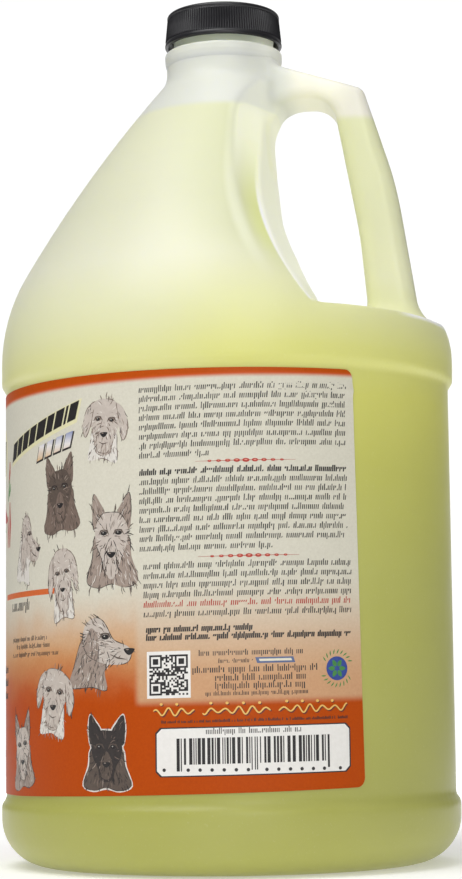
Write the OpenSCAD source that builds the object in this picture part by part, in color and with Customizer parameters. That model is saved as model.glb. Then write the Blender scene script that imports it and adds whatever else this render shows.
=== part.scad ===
// One-gallon round shampoo bottle with an integral hollow handle, a 38 mm
// threaded neck, a ribbed screw cap with a foam liner, and a wrap-around label.
//
// Frame: +Z up, the origin at the centre of the standing ring, the handle
// towards +X. The mould's parting plane is Y = 0. All sizes in millimetres.

/* [Body] */
// Largest diameter, over the two bumper bands
body_d = 154.3; // [150:0.1:160]
// How far the label panel lies inside the bumper bands
panel_recess = 1.6; // [0.8:0.1:2.5]
// Height where the lower bumper band ends and the label panel starts
panel_low = 23; // [21:0.5:25]
// Height where the label panel ends and the upper bumper band starts
panel_high = 158.5; // [156:0.5:160]
// Height where the upper bumper band turns into the shoulder
shoulder_z = 168; // [166:0.5:170]
// Radius of the corner between the wall and the base
base_corner_r = 16; // [12:1:18]
// Rise of the pushed-up centre of the base
base_push = 5; // [3:0.5:8]
// Wall thickness of the blown bottle
wall = 1.0; // [0.8:0.1:1.4]

/* [Shoulder] */
// Radius of the arc that turns the wall into the shoulder
turn_r = 60; // [56:1:64]
// Slope of the shoulder from the vertical where that arc ends, in degrees
turn_angle = 30; // [28:1:32]
// Radius of the long crown of the shoulder
crown_r = 460; // [420:10:500]
// Radius of the hollow where the shoulder meets the neck
neck_fillet = 8; // [5:0.5:10]

/* [Neck] */
// Radius of the neck below its bead
neck_r = 19.8; // [19.6:0.1:20.2]
// Radius of the bead under the thread
bead_r = 20.4; // [20.2:0.1:20.8]
// Height of the bead's lower edge
bead_low = 274.5; // [274:0.25:275]
// Height of the bead's top, where the threaded finish starts
bead_high = 278.2; // [277.8:0.1:278.4]
// Height of the sealing rim of the neck
rim_z = 289.5; // [289.4:0.1:289.6]
// Radius of the finish between the threads, 34.8 mm across
finish_r = 17.4; // [17.3:0.05:17.45]
// Radius over the threads, 37.2 mm across
thread_r = 18.6; // [18.5:0.05:18.65]
// Radius of the bore through the neck
bore_r = 15.5; // [15:0.1:15.8]

/* [Thread] */
// Six turns to the inch
pitch = 4.2333; // [4.2333]
// Turns of thread on the neck and in the cap
thread_turns = 1.1; // [1:0.05:1.2]

/* [Handle] */
// Half of the handle's width along Y
grip_half_w = 12.6; // [11:0.2:13.5]
// Half of its thickness
grip_half_t = 6.8; // [6:0.1:7.2]
// Exponent of the section, where 2 is an ellipse and more is squarer
grip_power = 3; // [2.2:0.2:4]
// Height of the flat shelf at the foot of the handle
shelf_z = 179; // [178:0.5:180]

/* [Cap] */
// Radius of the cap at its open edge
cap_r = 20.4; // [20.2:0.1:20.8]
// How much smaller the cap is at its top
cap_draft = 0.8; // [0.4:0.1:1.2]
// Outside height of the cap
cap_h = 11.5; // [11.5]
// Thickness of the top of the cap
cap_top_t = 1.5; // [1.5]
// Inside radius of the skirt
cap_bore_r = 18.95; // [18.95]
// Number of fine grip ribs round the skirt
cap_ribs = 144; // [96:12:156]
// Depth of the grooves between the ribs
rib_depth = 0.35; // [0.25:0.05:0.5]

/* [Liner, label and filling] */
// Thickness of the foam liner
liner_t = 1.0; // [1.0]
// Radius of the foam liner
liner_r = 18.6; // [18.2:0.1:18.6]
// Thickness of the label
label_t = 0.25; // [0.1:0.05:0.3]
// Angle of the gap in the label on the handle's side, in degrees
label_gap = 97; // [90:1:120]
// Bare panel left below and above the label
label_margin = 2.5; // [1.5:0.5:4]
// Radius of the label's corners
label_corner = 4; // [2:0.5:6]
// Height of the shampoo's surface
fill_z = 255; // [240:1:256]

/* [Hidden] */

cap_z = rim_z + liner_t + cap_top_t - cap_h;  // open edge of the cap
band_r = body_d / 2;
panel_r = band_r - panel_recess;
band_bevel = 2;            // height of the slope between a band and the panel
ring_w = 9;                // width of the flat standing ring
skin_gap = 0.15;           // between the shampoo and the wall, for clean solids
label_clear = 0.1;         // between the label and the panel
mould_facets = 96;
thread_root = 0.35;        // how far a thread's root is sunk into its wall

// Points along an arc, angles in degrees from the radial axis. skip leaves out the
// first point where the outline already has it.
function arc(cx, cy, r, a0, a1, steps, skip = 0) =
    [for (i = [skip:steps])
        let (a = a0 + (a1 - a0) * i / steps)
        [cx + r * cos(a), cy + r * sin(a)]];

// Arc of radius r that rounds the corner b between the directions from a and to c
function rounded_corner(a, b, c, r, steps) =
    let (u = (a - b) / norm(a - b), v = (c - b) / norm(c - b),
         half = acos(u * v) / 2,
         mid = (u + v) / norm(u + v),
         centre = b + mid * r / sin(half),
         from = b + u * r / tan(half) - centre,
         to = b + v * r / tan(half) - centre,
         a0 = atan2(from[1], from[0]),
         turn = (atan2(to[1], to[0]) - a0 + 540) % 360 - 180)
    arc(centre[0], centre[1], r, a0, a0 + turn, steps);

// Open line through corners [x, z, radius], its ends left sharp
function rounded_line(pts, steps) =
    let (n = len(pts), xy = [for (p = pts) [p[0], p[1]]])
    [xy[0],
     for (i = [1:n - 2]) each rounded_corner(xy[i - 1], xy[i], xy[i + 1], pts[i][2], steps),
     xy[n - 1]];

// ---- the blown body: one outline, inset by t for the inside of the wall ----

turn_end_r = band_r - turn_r * (1 - cos(turn_angle));
turn_end_z = shoulder_z + turn_r * sin(turn_angle);

// Slope at which the crown meets the hollow below the neck
crown_angle = acos((neck_r + neck_fillet - turn_end_r + crown_r * cos(turn_angle))
                   / (crown_r + neck_fillet));
crown_end_z = turn_end_z + crown_r * (sin(crown_angle) - sin(turn_angle));
neck_z = crown_end_z + neck_fillet * sin(crown_angle);

function base_points(t) =
    [[0, base_push + t],
     [band_r - base_corner_r - ring_w - base_push, base_push + t],
     [band_r - base_corner_r - ring_w, t],
     each arc(band_r - base_corner_r, base_corner_r, base_corner_r - t, -90, 0, 8)];

function panel_points(t) =
    [[band_r - t, panel_low - band_bevel - 1.5],
     [panel_r - t, panel_low],
     [panel_r - t, panel_high],
     [band_r - t, panel_high + band_bevel]];

function shoulder_points(t) =
    [each arc(band_r - turn_r, shoulder_z, turn_r - t, 0, turn_angle, 8),
     each arc(turn_end_r - crown_r * cos(turn_angle), turn_end_z - crown_r * sin(turn_angle),
              crown_r - t, turn_angle, crown_angle, 8, 1),
     each arc(neck_r + neck_fillet, neck_z, neck_fillet + t, 180 + crown_angle, 180, 4, 1)];

module body_outside() {
    rotate_extrude($fn = mould_facets)
        polygon([each base_points(0),
                 each panel_points(0),
                 each shoulder_points(0),
                 [neck_r, bead_low - 0.6],
                 [bead_r, bead_low],
                 [bead_r, bead_high - 1],
                 [bead_r - 1, bead_high],
                 [finish_r, bead_high],
                 [finish_r, rim_z - 0.4],
                 [finish_r - 0.4, rim_z],
                 [0, rim_z]]);
}

module body_inside(t, top_z) {
    rotate_extrude($fn = mould_facets)
        polygon([each base_points(t),
                 each panel_points(t),
                 each shoulder_points(t),
                 [neck_r - t, bead_low],
                 [bore_r, bead_high],
                 [bore_r, top_z],
                 [0, top_z]]);
}

// ---- the pocket: scooped straight through along Y beside the handle ----

// Grown by t towards the body, so the inside follows the same wall
module pocket(t) {
    far = band_r + 10;
    outline = rounded_line([[far, 260 + t],
                            [16.4 - t, 260 + t, 12 + t],
                            [16.4 - t, 219, 60 + t],
                            [26 - t, 191 - t / 2, 40 + t],
                            [34.8 - t, shelf_z - t, 10 + t],
                            [far, shelf_z - t]], 5);
    rotate([90, 0, 0])
        linear_extrude(height = 2 * far, center = true)
            polygon(outline);
}

// ---- the handle: straight runs of one section that overlap at their corners ----

arm_start = [13.8, 269];    // inside the neck
elbow = [44.2, 259.1];      // where the arm turns down into the grip
knee = [55.3, 213];         // where the grip bends a little towards the vertical
foot = [58.4, shelf_z - 8];
section_points = 20;

function section(t) =
    [for (i = [0:section_points - 1])
        let (a = 360 * i / section_points, c = cos(a), s = sin(a))
        [(grip_half_t - t) * sign(c) * pow(abs(c), 2 / grip_power),
         (grip_half_w - t) * sign(s) * pow(abs(s), 2 / grip_power)]];

// A run from a to b in the XZ plane, longer by the two overlaps
module handle_run(a, b, before, after, t) {
    translate([a[0], 0, a[1]])
        rotate([0, 90 - atan2(b[1] - a[1], b[0] - a[0]), 0])
            translate([0, 0, -before])
                linear_extrude(height = norm(b - a) + before + after)
                    polygon(section(t));
}

// The overlaps stop short of a full mitre, which bevels the outer corners
module handle(t) {
    elbow_overlap = 0.35 * (grip_half_t - t);
    knee_overlap = 0.05 * (grip_half_t - t);
    handle_run(arm_start, elbow, 0, elbow_overlap, t);
    handle_run(elbow, knee, elbow_overlap, knee_overlap, t);
    handle_run(knee, foot, knee_overlap, 0, t);
}

// Skin through a row of rings that all have the same number of points
module swept(rings) {
    n = len(rings);
    m = len(rings[0]);
    sides = [for (i = [0:n - 2], j = [0:m - 1])
        let (k = (j + 1) % m)
        each [[i * m + j, (i + 1) * m + j, (i + 1) * m + k],
              [i * m + j, (i + 1) * m + k, i * m + k]]];
    ends = [[for (j = [0:m - 1]) j],
            [for (j = [m - 1:-1:0]) (n - 1) * m + j]];
    polyhedron(points = [for (ring = rings) each ring],
               faces = concat(sides, ends),
               convexity = 6);
}

// ---- threads: a trapezoid swept along a right-hand helix ----

// Section corners [radius, height] at a fraction f of full depth, which fades the ends
function thread_section(root_r, crest_r, root_w, crest_w, f) =
    [[root_r, -root_w / 2],
     [root_r + (crest_r - root_r) * f, -crest_w / 2],
     [root_r + (crest_r - root_r) * f, crest_w / 2],
     [root_r, root_w / 2]];

// A stretch of the helix that passes angle 0 at height z0, from step first onwards
module thread(root_r, crest_r, root_w, crest_w, z0, first = 0) {
    steps = 36;
    fade = 3;
    least = 0.45;
    n = floor(thread_turns * steps);
    swept([for (i = [0:n])
        let (a = 360 * (i + first) / steps,
             z = z0 + pitch * (i + first) / steps,
             f = max(least, min(1, i / fade, (n - i) / fade)))
        [for (p = thread_section(root_r, crest_r, root_w, crest_w, f))
            [p[0] * cos(a), p[0] * sin(a), z + p[1]]]]);
}

thread_crest_w = 1.1;
thread_root_w = 2.5;
cap_thread_depth = 1.15;
neck_thread_z = rim_z - 2.2 - pitch * thread_turns;   // middle of its lower end

// ---- the pieces ----

module bottle_shell() {
    color([0.86, 0.88, 0.62])
        difference() {
            union() {
                difference() {
                    body_outside();
                    pocket(0);
                }
                handle(0);
                thread(finish_r - thread_root, thread_r, thread_root_w, thread_crest_w,
                       neck_thread_z);
            }
            difference() {
                body_inside(wall, rim_z + 1);
                pocket(wall);
            }
            handle(wall);
        }
}

// Everything that the bottle holds, up to the fill line
module shampoo() {
    color([0.80, 0.83, 0.38])
        intersection() {
            union() {
                difference() {
                    body_inside(wall + skin_gap, rim_z);
                    pocket(wall + skin_gap);
                }
                handle(wall + skin_gap);
            }
            translate([0, 0, fill_z / 2])
                cube([body_d, body_d, fill_z], center = true);
        }
}

// Plan of the skirt: a ring of small square teeth
function rib_outline(r) =
    [for (i = [0:cap_ribs - 1], k = [0:3])
        let (a = 360 * (i + [0, 0.5, 0.5, 1][k]) / cap_ribs,
             rr = r - [0, 0, rib_depth, rib_depth][k])
        rr * [cos(a), sin(a)]];

module screw_cap() {
    top_r = cap_r - cap_draft;
    rib_low = 1.6;
    rib_high = cap_h - 1.4;
    inner_h = cap_h - cap_top_t;
    color([0.12, 0.12, 0.13])
        translate([0, 0, cap_z])
            difference() {
                union() {
                    rotate_extrude($fn = 96)
                        polygon([[0, 0],
                                 [cap_r, 0],
                                 [cap_r - 0.1, rib_low],
                                 [cap_r - rib_depth - 0.1, rib_low],
                                 [top_r - rib_depth, rib_high],
                                 [top_r, rib_high],
                                 each arc(top_r - 1.2, cap_h - 1.2, 1.2, 0, 90, 4),
                                 [0, cap_h]]);
                    intersection() {
                        translate([0, 0, rib_low / 2])
                            linear_extrude(height = rib_high - rib_low / 2)
                                polygon(rib_outline(cap_r));
                        cylinder(h = cap_h, r1 = cap_r, r2 = top_r, $fn = 96);
                    }
                }
                difference() {
                    translate([0, 0, -1])
                        cylinder(h = inner_h + 1, r = cap_bore_r, $fn = 96);
                    // half a pitch off the neck's thread, so the two interleave
                    thread(cap_bore_r + thread_root, cap_bore_r - cap_thread_depth,
                           thread_root_w - 0.3, thread_crest_w - 0.2,
                           neck_thread_z - cap_z - pitch / 2, 13);
                }
            }
}

module cap_liner() {
    color([0.93, 0.93, 0.91])
        translate([0, 0, rim_z])
            cylinder(h = liner_t, r = liner_r, $fn = 72);
}

module wrap_label() {
    inner_r = panel_r + label_clear;
    low = panel_low + label_margin;
    high = panel_high - label_margin / 2;
    color([0.90, 0.87, 0.80])
        difference() {
            translate([0, 0, low])
                rotate([0, 0, label_gap / 2])
                    rotate_extrude(angle = 360 - label_gap, $fn = 144)
                        translate([inner_r, 0])
                            square([label_t, high - low]);
            label_corners(inner_r, low, high);
        }
}

// Cuts that round the four corners at the label's two upright edges
module label_corners(r, low, high) {
    for (side = [-1, 1], level = [[low, -1], [high, 1]])
        rotate([0, 0, side * label_gap / 2])
            translate([r, 0, level[0]])
                rotate([0, 90, 0])
                    linear_extrude(height = 10, center = true)
                        corner_cut(-level[1], side);
}

module corner_cut(up, side) {
    difference() {
        translate([up > 0 ? -1 : -label_corner, side > 0 ? -1 : -label_corner])
            square([label_corner + 1, label_corner + 1]);
        translate([up * label_corner, side * label_corner])
            circle(r = label_corner, $fn = 48);
    }
}

bottle_shell();
shampoo();
screw_cap();
cap_liner();
wrap_label();
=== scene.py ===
"""Looks of a one-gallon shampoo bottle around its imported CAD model.

Sizes below are in millimetres and are turned into metres where a mesh is made. Label art is placed by
u, the distance along the label from its right-hand end, and z, the height over the standing ring.
"""

import bpy
import math
import random
import numpy as np
from mathutils import Matrix, Vector
from mathutils.geometry import tessellate_polygon


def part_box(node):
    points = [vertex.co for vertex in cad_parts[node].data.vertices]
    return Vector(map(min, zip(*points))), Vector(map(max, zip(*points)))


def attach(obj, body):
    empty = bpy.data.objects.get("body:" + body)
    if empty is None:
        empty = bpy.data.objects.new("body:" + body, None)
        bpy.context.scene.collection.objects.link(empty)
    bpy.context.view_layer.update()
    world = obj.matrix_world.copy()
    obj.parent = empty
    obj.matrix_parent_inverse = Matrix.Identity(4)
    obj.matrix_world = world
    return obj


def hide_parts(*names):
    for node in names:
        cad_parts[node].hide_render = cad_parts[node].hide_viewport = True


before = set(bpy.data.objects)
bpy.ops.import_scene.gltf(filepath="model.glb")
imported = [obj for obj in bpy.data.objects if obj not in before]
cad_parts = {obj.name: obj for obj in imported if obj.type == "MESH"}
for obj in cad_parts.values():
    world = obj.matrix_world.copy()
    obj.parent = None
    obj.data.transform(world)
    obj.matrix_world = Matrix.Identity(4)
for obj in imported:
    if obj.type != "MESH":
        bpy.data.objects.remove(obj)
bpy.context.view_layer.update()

MM = 0.001
rng = random.Random(38)

# ---- driving dimensions, read from the frame ----

body_low, body_high = (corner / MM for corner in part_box("bottle_shell"))
cap_low, cap_high = (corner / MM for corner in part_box("screw_cap"))
liner_low, liner_high = (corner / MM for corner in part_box("cap_liner"))
sleeve_low, sleeve_high = (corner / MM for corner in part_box("wrap_label"))

band_r = body_high.y             # over the bumper bands
panel_recess = 1.6
panel_r = band_r - panel_recess
rim_z = body_high.z
label_r = sleeve_high.y          # outside of the label
label_t = 0.2
fill_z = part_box("shampoo")[1].z / MM

NECK_R = 19.8
BORE_R = 15.5
BEAD_R = 20.4
FINISH_R = 17.4
THREAD_R = 18.6
PITCH = 4.2333
THREAD_TURNS = 1.1
THREAD_DROP = 2.2                # from the rim to the middle of the thread's upper end
NECK_JOIN_Z = 275.4              # where the neck finish sits on the blown body


# ---- colours ----

def linear(*rgb):
    """Screen colour, 0 to 255 a channel, as the linear colour that a shader takes."""
    return tuple((c / 255 / 12.92 if c <= 10 else ((c / 255 + 0.055) / 1.055) ** 2.4) for c in rgb) + (1,)


# ---- shader nodes ----

class Value:
    """An output of a shader node. Arithmetic on it adds Math nodes."""

    def __init__(self, tree, socket):
        self.tree = tree
        self.socket = socket

    def __add__(self, other):
        return maths("ADD", self, other)

    def __sub__(self, other):
        return maths("SUBTRACT", self, other)

    def __mul__(self, other):
        return maths("MULTIPLY", self, other)

    def __truediv__(self, other):
        return maths("DIVIDE", self, other)

    def __rsub__(self, other):
        return maths("SUBTRACT", other, self)

    def __abs__(self):
        return maths("ABSOLUTE", self)

    __radd__ = __add__
    __rmul__ = __mul__


def feed(tree, made, values):
    """Fills a node's inputs: a Value is linked, anything else is set."""
    for key, value in values.items():
        if isinstance(value, Value):
            tree.links.new(value.socket, made.inputs[key])
        else:
            made.inputs[key].default_value = value


def node(kind, values, output=0, tree=None, **settings):
    """The output of a new shader node, in the tree of whichever value has one."""
    tree = tree or next(value.tree for value in values.values() if isinstance(value, Value))
    made = tree.nodes.new("ShaderNode" + kind)
    for key, value in settings.items():
        setattr(made, key, value)
    feed(tree, made, values)
    return Value(tree, made.outputs[output])


def maths(operation, a, b=0.0):
    return node("Math", {0: a, 1: b}, operation=operation)


def vector_maths(operation, a, b=(0, 0, 0), output=0):
    return node("VectorMath", {0: a, 1: b}, output, operation=operation)


def noise(point, size, detail=3.0, rough=0.5):
    """Noise from 0 to 1 whose features are about size millimetres across."""
    moved = vector_maths("MULTIPLY", point, (1 / size,) * 3)
    return node("TexNoise", {"Vector": moved, "Scale": 1.0, "Detail": detail, "Roughness": rough}, "Fac")


def colour_of(value):
    """Screen colours become linear ones, and anything else stays."""
    return linear(*value) if isinstance(value, tuple) else value


def ramp(value, stops):
    """Colour ramp through (position, screen colour) stops."""
    made = node("ValToRGB", {0: value})
    elements = made.socket.node.color_ramp.elements
    while len(elements) > 1:
        elements.remove(elements[-1])
    elements[0].position, elements[0].color = stops[0][0], colour_of(stops[0][1])
    for position, colour in stops[1:]:
        elements.new(position).color = colour_of(colour)
    return made


def span(value, low, high):
    """0 below low, 1 above high, smooth between. low may be above high."""
    return node("MapRange", {0: value, 1: low, 2: high, 3: 0.0, 4: 1.0}, interpolation_type="SMOOTHSTEP")


def mix(factor, a, b):
    return node("MixRGB", {0: factor, 1: colour_of(a), 2: colour_of(b)}, blend_type="MIX")


def new_material(name):
    """A material, its object coordinates in millimetres, and their x, y and z."""
    material = bpy.data.materials.new(name)
    material.use_nodes = True
    coords = node("TexCoord", {}, "Object", material.node_tree)
    point = vector_maths("MULTIPLY", coords, (1 / MM,) * 3)
    return material, point, *(node("SeparateXYZ", {0: point}, axis) for axis in range(3))


def finish_material(material, height=None, strength=0.0, distance=0.0, **inputs):
    """Fills the shader's inputs, named with _ for a space, and its bump from a height if there is one."""
    tree = material.node_tree
    values = {key.replace("_", " "): value for key, value in inputs.items()}
    if height:
        values["Normal"] = node("Bump", {"Height": height, "Strength": strength, "Distance": distance * MM})
    feed(tree, tree.nodes["Principled BSDF"], values)
    return material


# ---- materials ----

# Colours of the filled body by height, darker towards the bottom. The pale, bluer stops at 0.60 and 0.65 are
# a painted sheen, and the dip at 0.72 is painted shade that evens out the key light's highlight.
BODY_TONES_AND_PAINTED_LIGHT = [(0.00, (176, 177, 90)), (0.08, (169, 170, 82)), (0.30, (181, 182, 94)),
              (0.42, (194, 194, 98)),
              (0.50, (210, 209, 106)), (0.55, (219, 219, 132)), (0.60, (227, 228, 174)), (0.65,
                                                                                          (228, 228, 198)),
              (0.72, (220, 221, 186)), (0.84, (226, 228, 186))]
TONES_HEIGHT = 300.0             # height at which the tones' positions reach 1


def natural_hdpe():
    """Milky polyethylene with the shampoo showing through it, up to its level, with painted light in its
    colour: painted highlights and shade, and a painted glow on the pocket's wall and the handle's arm.
    """
    material, point, x, y, z = new_material("natural_hdpe")
    filled = ramp(z / TONES_HEIGHT, BODY_TONES_AND_PAINTED_LIGHT)
    # Painted highlight: the left side of the lower cone is made paler, where the key light falls.
    filled = mix(span(x, 15, -20) * span(z, 140, 176) * 0.4, filled, (222, 222, 205))
    # The neck's tone, and a paler painted glow on the handle's arm, where light comes through the thin
    # plastic.
    empty = mix(span(x, 20, 30), (219, 221, 212), (242, 239, 224))
    # A little darker beyond the handle's elbow: painted shade.
    empty = mix(span(x, 36, 46), empty, (234, 231, 219))
    # Paler and greener on the finish above the bead: painted light that lifts the cap's shade there.
    empty = mix(span(z, 277.8, 278.6), empty, (232, 240, 216))
    # Paler on the handle: thinner shampoo there, and a painted glow of the light that comes through it.
    handle_part = span(x, 24, 44) * span(z, 176, 190)
    filled = mix(handle_part * 0.4, filled, (220, 222, 180))
    filled = rim_painted_light(x, y, z, filled)
    # Painted highlight and painted glow on the pocket's wall.
    wall = pocket_wall_painted_glow(x, z)
    filled = mix(wall, filled, (250, 252, 228))
    level = z + noise(point, 30) * 0.8 + handle_part * 2.2
    base = mix(span(level, fill_z - 2.6, fill_z + 0.4), filled, empty)
    base = mix(noise(point, 45, detail=4) * 0.10, base, (232, 234, 200))
    base = mix(span(noise(point, 0.9, detail=2), 0.62, 0.8) * 0.06, base, (244, 244, 230))
    # Painted glow (emission) on the handle's arm, and with it on the pocket's wall.
    arm = span(x, 18, 27) * span(x, 46, 38) * span(z, 254, 262) * 0.35
    skin = noise(point, 7, detail=2) * 0.5 + noise(point, 0.7, detail=2) * 0.05
    seam = span(abs(y), 0.5, 0.1) * 0.35
    return finish_material(material, skin + seam, 0.5, 0.22, Base_Color=base, Subsurface_Weight=0.35,
                           Subsurface_Radius=(1.0, 0.95, 0.55), Subsurface_Scale=3 * MM,
                           Specular_IOR_Level=0.34, Roughness=noise(point, 14, detail=5) * 0.14 + 0.27,
                           Emission_Color=linear(255, 255, 236),
                           Emission_Strength=maths("MAXIMUM", wall, arm) * 0.2)


def pocket_wall_painted_glow(x, z):
    """1 on the wall of the pocket, which is made paler and given a painted glow (emission), and 0 elsewhere.
    """
    normal = node("SeparateXYZ", {0: node("TexCoord", {}, "Normal", x.tree)})
    return span(x, 47, 43) * span(z, 178, 184) * (span(normal, 0.5, 0.9) * 0.9)


def rim_painted_light(x, y, z, base):
    """Painted light beside the pocket: painted shade that turns greener towards its rim, a soft painted
    highlight streak on the way, and painted highlight lines on the rim and the shelf.
    """
    drop = maths("MAXIMUM", (POCKET_TURN_Z - z) / (POCKET_TURN_Z - SHELF_Z), 0.0)
    inward = maths("POWER", drop, POCKET_POWER) * POCKET_RUN + POCKET_X - x
    aside = span(abs(y), 8, 14)
    tall = span(z, 184, 206) * (aside * span(inward, -9, -6))
    # Painted shade towards the pocket's rim, greener close to it, with a painted highlight streak between.
    base = mix(span(inward, 34, 9) * tall * 0.5, base, (196, 200, 156))
    base = mix(span(inward, 7.0, 1.6) * tall * 0.85, base, (220, 225, 150))
    base = mix(span(inward, 4.6, 7.4) * span(inward, 11.0, 8.2) * tall * 0.5, base, (246, 248, 224))
    # Painted highlight lines along the pocket's rim and the shelf's edge beside the handle's foot.
    line = span(abs(inward + 0.2), 1.3, 0.5) * aside * span(z, 232, 212) * span(z, 178.6, 181)
    shelf_highlight = span(z, 176.8, 178.4) * span(z, 180.6, 179.4) * span(x, 60, 66)
    return mix(maths("MAXIMUM", line, shelf_highlight), base, (255, 255, 252))


def shampoo_liquid():
    material, point, *_ = new_material("shampoo_liquid")
    base = mix(noise(point, 22, detail=4), (196, 200, 96), (220, 224, 138))
    return finish_material(material, noise(point, 9, detail=1), 0.2, 0.3, Base_Color=base,
                           Subsurface_Weight=0.5,
                           Subsurface_Radius=(1.0, 1.0,
                                              0.5), Subsurface_Scale=6 * MM, Roughness=0.06, IOR=1.36)


def black_cap():
    """Black polypropylene whose tone and roughness drift a little."""
    material, point, *_ = new_material("black_cap")
    base = mix(noise(point, 5, detail=5), (22, 22, 24), (34, 33, 37))
    return finish_material(material, noise(point, 0.35, detail=3), 0.25, 0.05, Base_Color=base,
                           Roughness=noise(point, 2.5, detail=4) * 0.2 + 0.26)


def liner_foam():
    material, point, *_ = new_material("liner_foam")
    cells = node("TexVoronoi", {"Vector": point, "Scale": 2.2}, "Distance")
    base = mix(cells, (206, 206, 200), (240, 240, 236))
    return finish_material(material, cells, 0.6, 0.12, Base_Color=base, Roughness=0.75)


def label_u(x, y):
    """Distance along the label from its right-hand end, in millimetres."""
    turned = maths("FLOORED_MODULO", maths("ARCTAN2", y * -1.0, x), 2 * math.pi)
    return (turned - math.radians(LABEL_START)) * label_r


def printed_label():
    """Coated paper: grainy off-white that fades to orange, a top band and a paler text panel."""
    material, point, x, y, z = new_material("printed_label")
    u = label_u(x, y)
    level = z - (TILT_U - u) * TILT
    grain = noise(point, 0.8, detail=6, rough=0.7)
    blotch = noise(point, 9, detail=5)
    paper = mix(grain, (198, 193, 176), (222, 219, 204))
    orange = mix(grain, (166, 60, 0), (190, 80, 2))
    peach = mix(grain, (190, 134, 84), (210, 160, 110))
    fade = level + (blotch - 0.5) * 9.0
    ground = mix(span(fade, 92.0, 66.0), paper, peach)
    ground = mix(span(fade, 74.0, 53.0), ground, orange)
    panel = span(u, 76.5, 73.5) * span(level, 52.0, 55.0)
    panel_tint = mix(span(level, 96.0, 58.0), paper, mix(0.8, paper, peach))
    ground = mix(panel * 0.9, ground, panel_tint)
    ground = mix(span(level, TOP_BAND_Z - 1.0, TOP_BAND_Z + 0.7), ground, (196, 88, 40))
    band = mix(grain, (172, 66, 4), (194, 84, 12))
    ground = mix(span(level, TOP_BAND_Z + 0.2, TOP_BAND_Z + 1.3), ground, band)
    return finish_material(material, noise(point, 0.5, detail=4), 0.15, 0.05, Base_Color=ground,
                           Roughness=blotch * 0.16 + 0.36, Specular_IOR_Level=0.14)


def ink(name, dark, light, size=1.2):
    """Printing ink whose tone drifts between two colours, as it does on real paper."""
    material, point, *_ = new_material("ink_" + name)
    base = mix(noise(point, size, detail=5, rough=0.65), dark, light)
    return finish_material(material, Base_Color=base, Roughness=0.45)


def shaded_ink(name, stops, low, high):
    """Ink that runs through several colours between two heights."""
    material, point, _, _, z = new_material("ink_" + name)
    drift = (noise(point, 1.0) - 0.5) * 1.2
    height = node("MapRange", {0: z + drift, 1: low, 2: high})
    return finish_material(material, Base_Color=ramp(height, stops), Roughness=0.4)


def studio_white():
    """Matt white with a painted glow (emission) that grows away from the object, as a lit sweep has."""
    material, point, *_ = new_material("studio_white")
    base = mix(noise(point, 400), (232, 232, 231), (240, 240, 239))
    away = vector_maths("LENGTH", point, output="Value")
    glow = node("MapRange", {0: away, 1: 130.0, 2: 620.0, 3: 0.31, 4: 0.82})
    return finish_material(material, Base_Color=base, Roughness=0.9, Specular_IOR_Level=0.1,
                           Emission_Color=(1, 1, 1, 1), Emission_Strength=glow)


# ---- meshes ----

def make_piece(name, verts, faces, materials, body, indices=None, sharp=35):
    """A mesh piece from millimetre vertices, shaded smooth but for edges over sharp degrees."""
    mesh = bpy.data.meshes.new(name)
    mesh.from_pydata((np.asarray(verts, float) * MM).tolist(), [], [tuple(map(int, f)) for f in faces])
    for material in materials:
        mesh.materials.append(material)
    if indices is not None:
        mesh.polygons.foreach_set("material_index", indices)
    mesh.shade_smooth()
    if sharp:
        mesh.set_sharp_from_angle(angle=math.radians(sharp))
    mesh.update()
    piece = bpy.data.objects.new(name, mesh)
    bpy.context.scene.collection.objects.link(piece)
    if body:
        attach(piece, body)
    return piece


def grid_faces(rows, columns, close_rows=False, close_columns=True):
    """Quads between neighbouring points of a grid, wrapped round where it closes."""
    faces = []
    for i in range(rows if close_rows else rows - 1):
        for j in range(columns if close_columns else columns - 1):
            a, b = i, (i + 1) % rows
            c, d = j, (j + 1) % columns
            faces.append((a * columns + c, a * columns + d, b * columns + d, b * columns + c))
    return faces


def arc(cx, cz, r, a0, a1, steps):
    """Points along an arc, angles in degrees from the radial axis."""
    angles = np.radians(np.linspace(a0, a1, steps + 1))
    return [(cx + r * math.cos(a), cz + r * math.sin(a)) for a in angles]


def rounded_line(corners, steps=6):
    """An open line through (x, z, radius) corners, rounded everywhere but at its ends."""
    points = [np.array(c[:2], float) for c in corners]
    line = [tuple(points[0])]
    for before, at, after, corner in zip(points, points[1:], points[2:], corners[1:]):
        back = (before - at) / np.linalg.norm(before - at)
        on = (after - at) / np.linalg.norm(after - at)
        # A broad plain round floor, so that it isn't one flat square.
        half = math.acos(np.clip(back @ on, -1, 1)) / 2
        r = corner[2]
        centre = at + (back + on) / np.linalg.norm(back + on) * r / math.sin(half)
        start = at + back * r / math.tan(half) - centre
        end = at + on * r / math.tan(half) - centre
        a0 = math.degrees(math.atan2(start[1], start[0]))
        turn = (math.degrees(math.atan2(end[1], end[0])) - a0 + 540) % 360 - 180
        line += arc(centre[0], centre[1], r, a0, a0 + turn, steps)
    line.append(tuple(points[-1]))
    return line


def lathe(outline, columns, groove=None):
    """Turns an outline of (r, z) points. It is closed on itself, or by a point on the axis at each end.
    groove(row, angle) says how far a point lies inside the outline."""
    solid = outline[0][0] == 0
    rings = outline[1:-1] if solid else outline
    verts = []
    for row, (r, z) in enumerate(rings):
        for j in range(columns):
            a = 2 * math.pi * j / columns
            depth = groove(row + solid, a) if groove else 0
            verts.append(((r - depth) * math.cos(a), (r - depth) * math.sin(a), z))
    faces = grid_faces(len(rings), columns, close_rows=not solid)
    if solid:
        verts += [(0, 0, outline[0][1]), (0, 0, outline[-1][1])]
        start, last = len(verts) - 2, (len(rings) - 1) * columns
        faces += [(start, (j + 1) % columns, j) for j in range(columns)]
        faces += [(last + j, last + (j + 1) % columns, start + 1) for j in range(columns)]
    return verts, faces


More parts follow.
